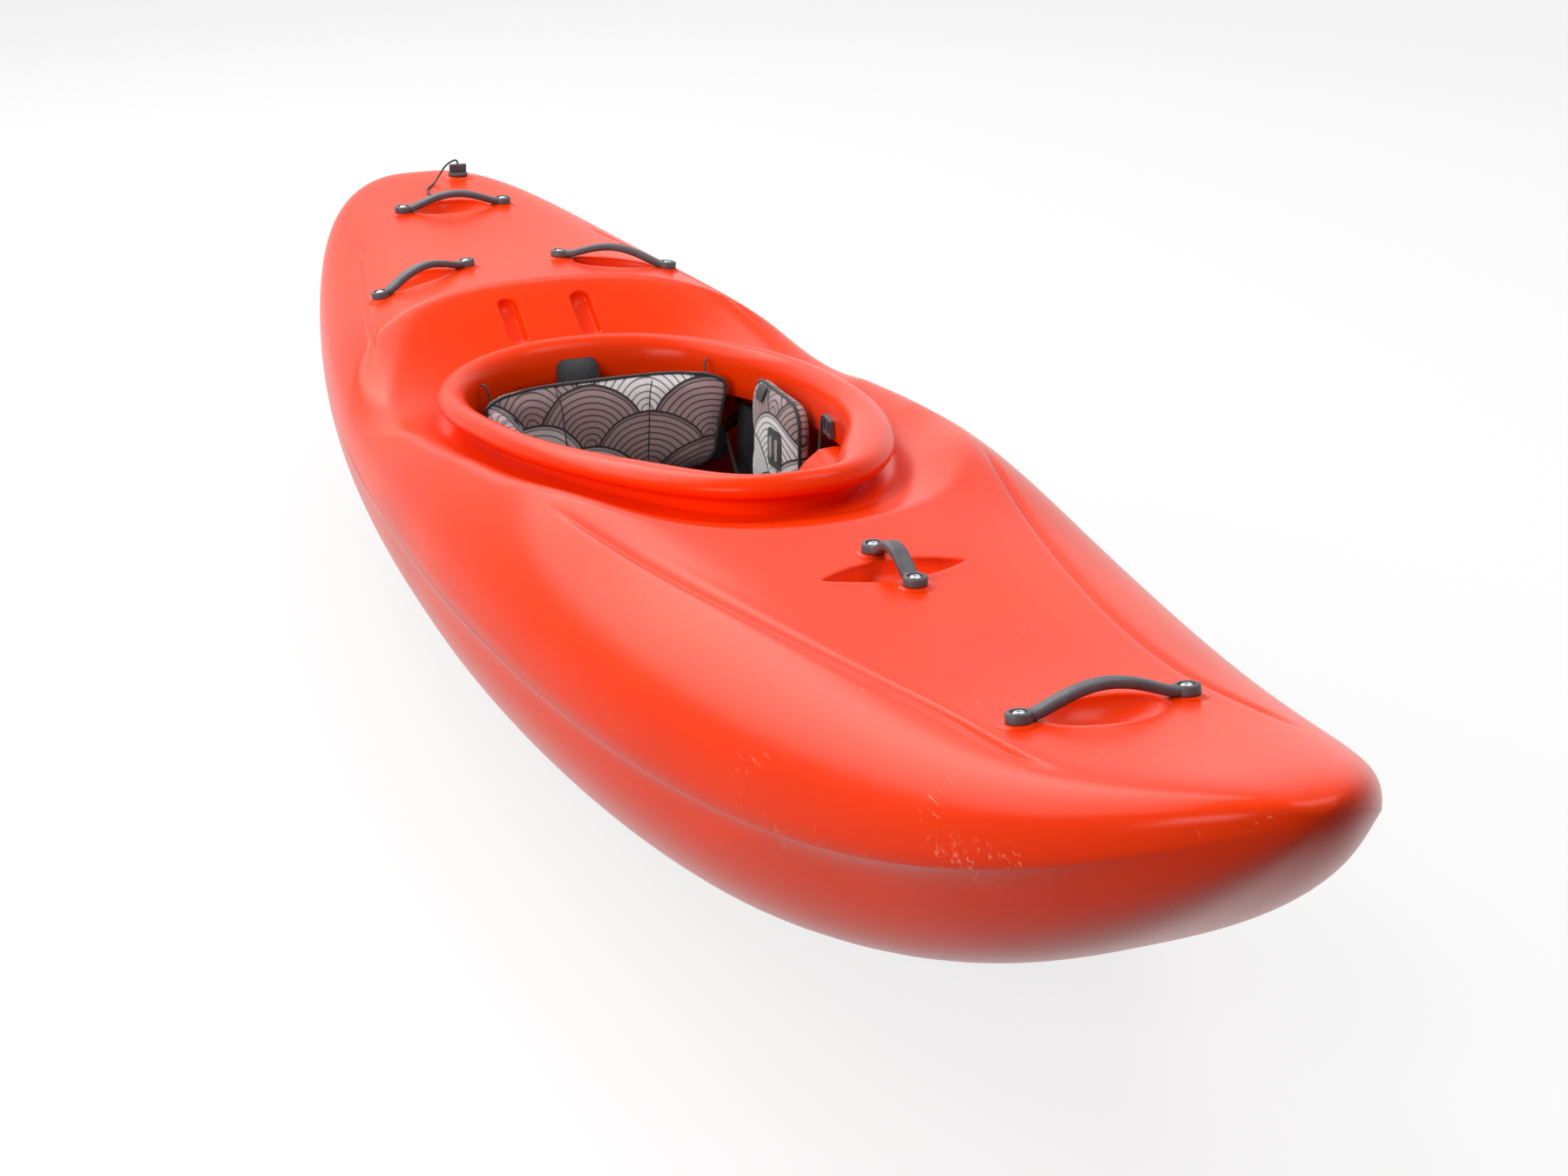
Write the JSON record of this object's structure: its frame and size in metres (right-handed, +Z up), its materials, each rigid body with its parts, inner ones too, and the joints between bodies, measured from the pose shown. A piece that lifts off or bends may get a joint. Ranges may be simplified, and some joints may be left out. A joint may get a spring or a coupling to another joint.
{
  "type": "whitewater kayak",
  "caption": "Short rounded river kayak: moulded shell with a raised cockpit rim, recessed carry handles, and a sliding seat, backband, thigh braces and foot plates inside.",
  "frame": {"origin": "on the ground under the middle of the boat, at the bottom centre of its box", "axes": "+X towards the bow, +Y to the paddler's left (port), +Z up"},
  "size_m": [2.74, 0.684, 0.4504],
  "materials": {
    "hull_plastic": "rotationally moulded polyethylene, orange red, slightly waxy, scuffed",
    "handle_plastic": "moulded nylon, satin",
    "steel": "stainless steel, turned",
    "plug_plastic": "hard black rubber, satin",
    "outfitting_plastic": "moulded polyethylene, black, fine grain",
    "aluminium": "bead blasted",
    "fabric": "woven and printed, padded",
    "foam": "closed cell foam, cut faces",
    "cord": "braided cord",
    "webbing": "flat woven webbing"
  },
  "bodies": {
    "hull": {"hull_shell": "hull_plastic", "bow_handle": "handle_plastic", "bow_center_handle": "handle_plastic", "stern_handle": "handle_plastic", "stern_port_handle": "handle_plastic", "stern_starboard_handle": "handle_plastic", "bow_handle_bolt_port": "steel", "bow_handle_bolt_starboard": "steel", "bow_center_handle_bolt_fore": "steel", "bow_center_handle_bolt_aft": "steel", "stern_handle_bolt_port": "steel", "stern_handle_bolt_starboard": "steel", "stern_port_handle_bolt_outer": "steel", "stern_port_handle_bolt_inner": "steel", "stern_starboard_handle_bolt_outer": "steel", "stern_starboard_handle_bolt_inner": "steel", "drain_plug_cord": "cord", "seat_rail_port": "aluminium", "seat_rail_starboard": "aluminium", "thigh_brace_bolt_port_fore": "steel", "thigh_brace_bolt_port_aft": "steel", "thigh_brace_bolt_starboard_fore": "steel", "thigh_brace_bolt_starboard_aft": "steel", "bow_pillar": "foam", "stern_pillar": "foam", "foot_rail_port": "aluminium", "foot_rail_starboard": "aluminium", "cord_lock_port": "outfitting_plastic", "cord_lock_starboard": "outfitting_plastic", "adjuster_cord_port": "cord", "adjuster_cord_starboard": "cord", "backband_strap_port": "webbing", "backband_strap_starboard": "webbing", "backband_hanger_port": "cord", "backband_hanger_starboard": "cord"},
    "seat": {"seat_pan": "outfitting_plastic", "seat_pad": "fabric", "seat_bolt_port_fore": "steel", "seat_bolt_port_aft": "steel", "seat_bolt_starboard_fore": "steel", "seat_bolt_starboard_aft": "steel", "hip_pad_port": "fabric", "hip_pad_starboard": "fabric"},
    "backband_frame": {"backband": "fabric", "backband_shell": "outfitting_plastic"},
    "drain_plug_turn": {"drain_plug": "plug_plastic"},
    "brace_port": {"thigh_brace_port": "outfitting_plastic", "thigh_pad_port": "foam"},
    "foot_port": {"foot_plate_port": "aluminium", "foot_pad_port": "foam", "foot_bolt_port": "steel"},
    "brace_starboard": {"thigh_brace_starboard": "outfitting_plastic", "thigh_pad_starboard": "foam"},
    "foot_starboard": {"foot_plate_starboard": "aluminium", "foot_pad_starboard": "foam", "foot_bolt_starboard": "steel"}
  },
  "joints": [
    {"name": "seat_slide", "type": "slide", "parent": "hull", "child": "seat", "axis": [1, 0, 0], "range_m": [-0.03, 0.022]},
    {"name": "backband_tilt", "type": "hinge", "parent": "hull", "child": "backband_frame", "pos_m": [-0.372, 0, 0.176], "axis": [0, 1, 0], "range_deg": [0, 18]},
    {"name": "drain_plug_turn", "type": "hinge", "parent": "hull", "child": "drain_plug_turn", "pos_m": [-1.30594, 0.05205, 0.3502], "axis": [0.038, 0.035, 0.9987], "continuous": true},
    {"name": "brace_slide_port", "type": "slide", "parent": "hull", "child": "brace_port", "axis": [0.9937, 0, 0.112], "range_m": [-0.02, 0.025]},
    {"name": "foot_slide_port", "type": "slide", "parent": "hull", "child": "foot_port", "axis": [1, 0, 0], "range_m": [-0.06, 0.06]},
    {"name": "brace_slide_starboard", "type": "slide", "parent": "hull", "child": "brace_starboard", "axis": [0.9937, 0, 0.112], "range_m": [-0.02, 0.025]},
    {"name": "foot_slide_starboard", "type": "slide", "parent": "hull", "child": "foot_starboard", "axis": [1, 0, 0], "range_m": [-0.06, 0.06]}
  ]
}
